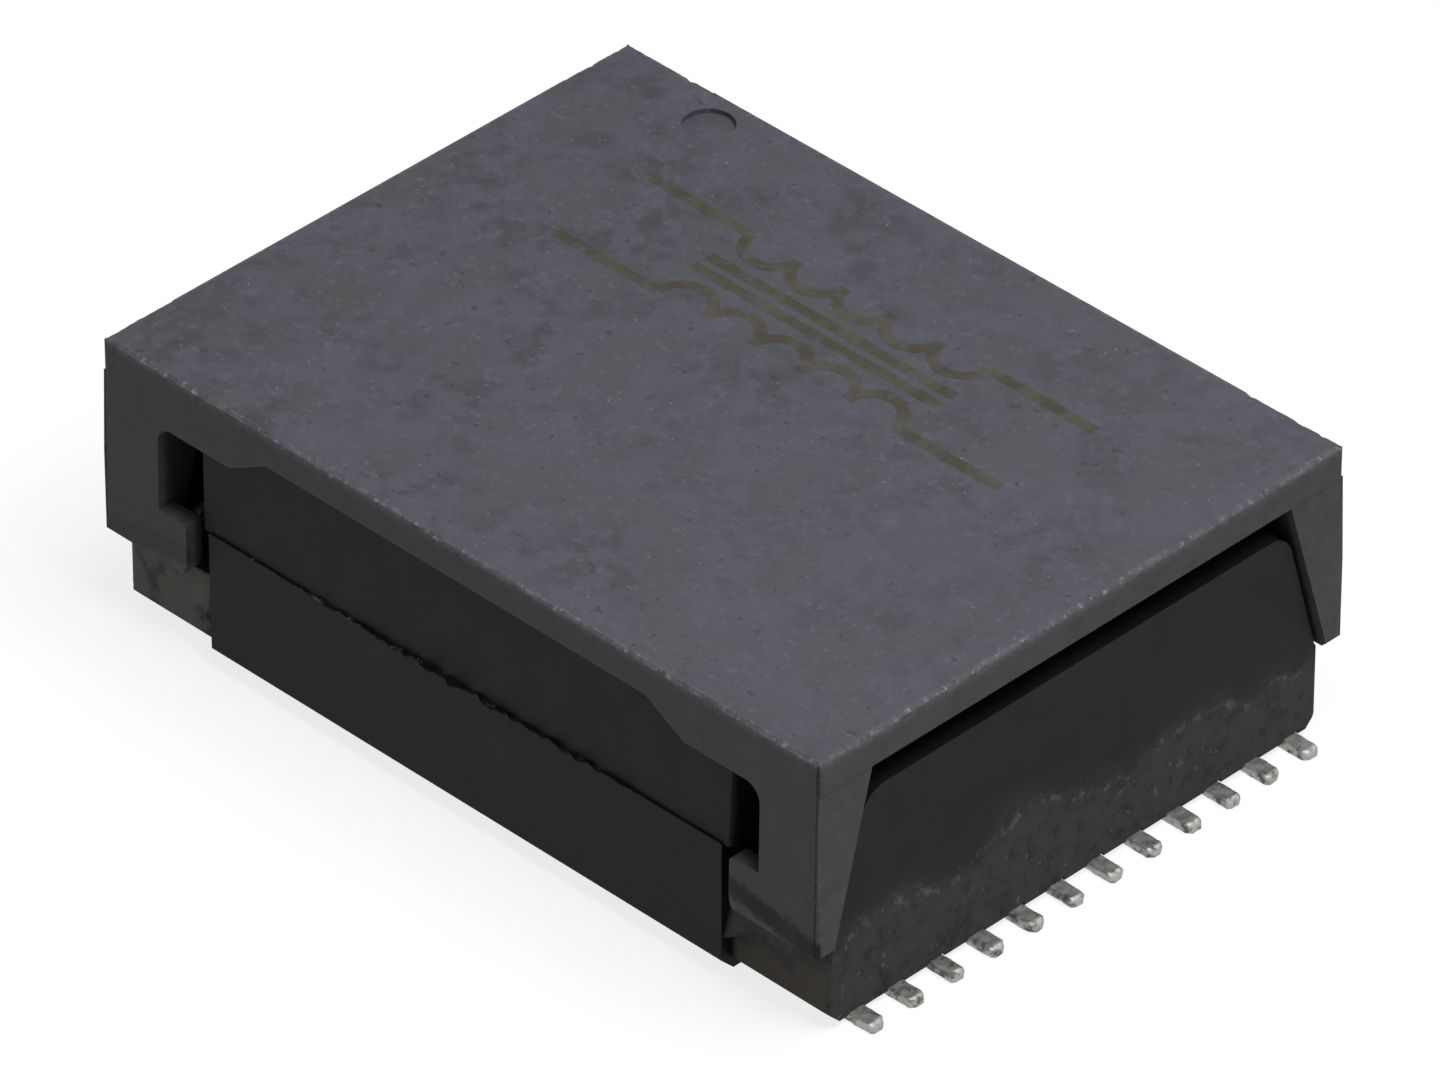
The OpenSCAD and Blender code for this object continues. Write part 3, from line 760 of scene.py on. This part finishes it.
# %% Melt a copy of each lead
VOXEL_MM = 0.05
DENT_MM = 0.014
THINNED_MM = 0.002
LOWEST = 0.001 * MM
LEAD_SHARP_FROM = 60


def melted(piece, voxel):
    """Rounds a piece's corners by a voxel remesh, with the voxel in millimetres."""
    piece.data.transform(Matrix.Scale(1 / MM, 4))
    skin = piece.modifiers.new("skin", "REMESH")
    skin.mode = "VOXEL"
    skin.voxel_size = voxel
    skin.use_smooth_shade = True
    bpy.context.view_layer.update()
    mesh = bpy.data.meshes.new_from_object(piece.evaluated_get(bpy.context.evaluated_depsgraph_get()))
    piece.modifiers.clear()
    mesh.transform(Matrix.Scale(MM, 4))
    piece.data = mesh


def solder_coated(name):
    """A melted and dented copy of one lead, which stands for it."""
    piece, bm = clean_copy(name, name + "_tinned")
    bm.to_mesh(piece.data)
    bm.free()
    melted(piece, VOXEL_MM)
    bm = bmesh.new()
    bm.from_mesh(piece.data)
    bmesh.ops.smooth_vert(bm, verts=bm.verts, factor=0.5, use_axis_x=True, use_axis_y=True, use_axis_z=True)
    bm.normal_update()
    for v in bm.verts:
        dent = noise.noise(v.co / (0.20 * MM)) + 0.5 * noise.noise(v.co / (0.09 * MM))
        v.co += v.normal * (DENT_MM * dent - THINNED_MM) * MM
        v.co.z = max(v.co.z, LOWEST)
    return settle(piece, bm, name, sharp_from=LEAD_SHARP_FROM)


# %% [markdown]
# Solder dulls in air and keeps dark flux in its dents, so the metal is patchy: bright and
# fairly smooth on the high places, dark and rough in the low ones.

# %% Lead finish
SOLDER_BRIGHT = (0.38, 0.38, 0.365)
SOLDER_DARK = (0.13, 0.13, 0.12)


def tinned_finish():
    """Solder, bright on the high places and dark in the dents."""
    f = Finish("tinned_lead")
    dent = f.noise(0.20 * MM, detail=4, roughness=0.6)
    grain = f.noise(0.03 * MM, detail=2)
    dark = f.step(dent, 0.54, 0.36)
    rough = f.total(0.44, f.total(f.product(grain, 0.2), f.product(dark, 0.2)))
    height = f.total(dent, f.product(grain, 0.15))
    color = f.mix(dark, SOLDER_BRIGHT, SOLDER_DARK)
    return f.finish(color, rough, f.bump(height, 0.018 * MM, 0.6), metallic=1.0)


tinned_lead = tinned_finish()
for name in lead_names:
    coated = solder_coated(name)
    coated.data.materials.clear()
    coated.data.materials.append(tinned_lead)
    dress(name, tinned_lead)

# %% [markdown]
# ## What is inside
# Little of the coils shows, only through the slots and the gap over the end walls,
# but the model may be opened or cut. Ferrite is a dark fired ceramic, the wire is
# copper under clear enamel, and the bed is cloudy silicone.

# %% Inner finishes
FERRITE_TONES = ((0.030, 0.028, 0.027), (0.060, 0.056, 0.052))
WIRE_TONES = ((0.30, 0.085, 0.030), (0.48, 0.16, 0.055))
SILICONE_TONES = ((0.46, 0.46, 0.42), (0.60, 0.60, 0.56))


def ferrite_finish():
    """Dark fired ceramic with a fine speckle."""
    f = Finish("ferrite")
    speckle = f.noise(0.09 * MM, detail=4)
    color = f.mix(f.step(speckle, 0.35, 0.65), *FERRITE_TONES)
    return f.finish(color, 0.6, f.bump(speckle, 0.01 * MM, 0.5))


def wire_finish():
    """Copper of uneven tone under a clear coat of enamel."""
    f = Finish("enamelled_wire")
    f.shader.inputs["Coat Weight"].default_value = 0.6
    f.shader.inputs["Coat Roughness"].default_value = 0.12
    return f.finish(f.mix(f.noise(0.5 * MM, detail=2), *WIRE_TONES), 0.32, metallic=0.85)


def silicone_finish():
    """Cloudy silicone that lets a little light in."""
    f = Finish("silicone")
    cloud = f.noise(0.8 * MM, detail=3)
    f.shader.inputs["Subsurface Weight"].default_value = 0.2
    f.shader.inputs["Subsurface Radius"].default_value = (MM, MM, MM)
    return f.finish(f.mix(cloud, *SILICONE_TONES), 0.35, f.bump(cloud, 0.05 * MM, 0.4))


# %% Dress the inner solids
enamelled_wire = wire_finish()
inner_finishes = {"core": ferrite_finish(), "winding": enamelled_wire, "wires": enamelled_wire,
                  "bed": silicone_finish()}
dressed = []
for name in nodes:
    for word, material in inner_finishes.items():
        if word in name:
            dress(name, material)
            dressed.append(name)
print("inner solids dressed:", len(dressed))

# %% [markdown]
# ## Floor, light and camera
# A product portrait on white: a pale floor that the camera sees as nearly white, and that
# still takes the object's shadow. One large soft light stands overhead, leaning to the
# side of the end wall, with a dim even sky that looks white where it is seen or mirrored.
# The object keeps the order of its three visible faces: top brightest, end next, long
# side darkest, helped by the painted shade on the upright faces. Floor and sky both ask the
# same question, whether a ray is seen straight, mirrored or through glass, so one helper answers it.

# %% Tell rays that are seen from rays that carry light
def by_sight(tree):
    """1 for a ray of the camera, of a reflection or of glass, and 0 for all others."""
    rays = tree.nodes.new("ShaderNodeLightPath")
    seen = rays.outputs["Is Camera Ray"]
    for kind in ("Is Glossy Ray", "Is Transmission Ray"):
        either = tree.nodes.new("ShaderNodeMath")
        either.operation = "MAXIMUM"
        tree.links.new(seen, either.inputs[0])
        tree.links.new(rays.outputs[kind], either.inputs[1])
        seen = either.outputs[0]
    return seen


def show_by_sight(tree, lighting, shown, end):
    """Sends one shader to rays that carry light and another to rays that are seen."""
    choice = tree.nodes.new("ShaderNodeMixShader")
    tree.links.new(by_sight(tree), choice.inputs["Fac"])
    tree.links.new(lighting, choice.inputs[1])
    tree.links.new(shown, choice.inputs[2])
    tree.links.new(choice.outputs[0], end)


# %% Floor
FLOOR_HALF = 0.6
PAPER = (0.62, 0.62, 0.62, 1)
SHADOW_PAPER = (0.26, 0.26, 0.26, 1)
GLOW = 0.80


def floor_finish():
    """Pale paper that lights the object; seen straight it glows, and keeps the shadow."""
    f = Finish("pale_floor")
    f.tree.nodes.remove(f.shader)
    paper = f.add("ShaderNodeBsdfDiffuse")
    paper.inputs["Color"].default_value = PAPER
    shaded = f.add("ShaderNodeBsdfDiffuse")
    shaded.inputs["Color"].default_value = SHADOW_PAPER
    glow = f.add("ShaderNodeEmission")
    glow.inputs["Strength"].default_value = GLOW
    both = f.add("ShaderNodeAddShader")
    f.tree.links.new(shaded.outputs[0], both.inputs[0])
    f.tree.links.new(glow.outputs[0], both.inputs[1])
    surface = f.tree.nodes["Material Output"].inputs["Surface"]
    show_by_sight(f.tree, paper.outputs[0], both.outputs[0], surface)
    return f.material


def pale_floor():
    """A square sheet at the height of the feet."""
    mesh = bpy.data.meshes.new("floor")
    bm = bmesh.new()
    bmesh.ops.create_grid(bm, x_segments=1, y_segments=1, size=FLOOR_HALF)
    bm.to_mesh(mesh)
    bm.free()
    mesh.materials.append(floor_finish())
    floor = bpy.data.objects.new("floor", mesh)
    scene.collection.objects.link(floor)
    return floor


floor = pale_floor()
print(floor.name, "is", 2 * FLOOR_HALF, "metres wide and belongs to the stage")

# %% Soft light overhead
LAMP_PLACE = Vector((0.15, 0.015, 0.36))
LAMP_SIZE = 0.22
LAMP_POWER = 1.07


def soft_light(name, place, aim, size, power):
    """A square lamp turned towards a point."""
    lamp = bpy.data.lights.new(name, "AREA")
    lamp.shape = "SQUARE"
    lamp.size = size
    lamp.energy = power
    holder = bpy.data.objects.new(name, lamp)
    holder.location = place
    holder.rotation_euler = (aim - place).to_track_quat("-Z", "Y").to_euler()
    scene.collection.objects.link(holder)
    return holder


middle = Vector(((cad_box[0][i] + cad_box[1][i]) / 2 for i in range(3)))
overhead = soft_light("overhead", LAMP_PLACE, middle, LAMP_SIZE, LAMP_POWER)
print("lamp over the object in metres:", round((overhead.location - middle).length, 2))

# %% Sky
SKY_LIGHT = 0.22
WHITE = (1, 1, 1, 1)


def pale_sky():
    """Dim and even where it lights, and white where it is seen."""
    sky = bpy.data.worlds.new("sky")
    sky.use_nodes = True
    tree = sky.node_tree
    dim = tree.nodes["Background"]
    dim.inputs["Color"].default_value = WHITE
    dim.inputs["Strength"].default_value = SKY_LIGHT
    white = tree.nodes.new("ShaderNodeBackground")
    white.inputs["Color"].default_value = WHITE
    show_by_sight(tree, dim.outputs[0], white.outputs[0], tree.nodes["World Output"].inputs["Surface"])
    return sky


scene.world = pale_sky()
scene.view_settings.view_transform = "Standard"
print("sky lights with", SKY_LIGHT, "and shows through the view", scene.view_settings.view_transform)

# %% [markdown]
# The camera stands a quarter of a metre away with a long lens, over the corner between
# the long side and the end wall, so three faces show with very little perspective.

# %% Camera
AZIMUTH = math.radians(44.87)
ELEVATION = math.radians(36.30)
DISTANCE = 0.2453
AIM = Vector((0, 0, 2.87 * MM))

back = Vector((math.sin(AZIMUTH) * math.cos(ELEVATION), -math.cos(AZIMUTH) * math.cos(ELEVATION),
               math.sin(ELEVATION)))
camera_data = bpy.data.cameras.new("portrait")
camera_data.sensor_width = 36
camera_data.lens = 339.9
camera_data.clip_start = 0.01
camera = bpy.data.objects.new("portrait", camera_data)
camera.location = AIM + back * DISTANCE
camera.rotation_euler = back.to_track_quat("Z", "Y").to_euler()
scene.collection.objects.link(camera)
scene.camera = camera
print("camera in mm:", [round(v / MM, 1) for v in camera.location])
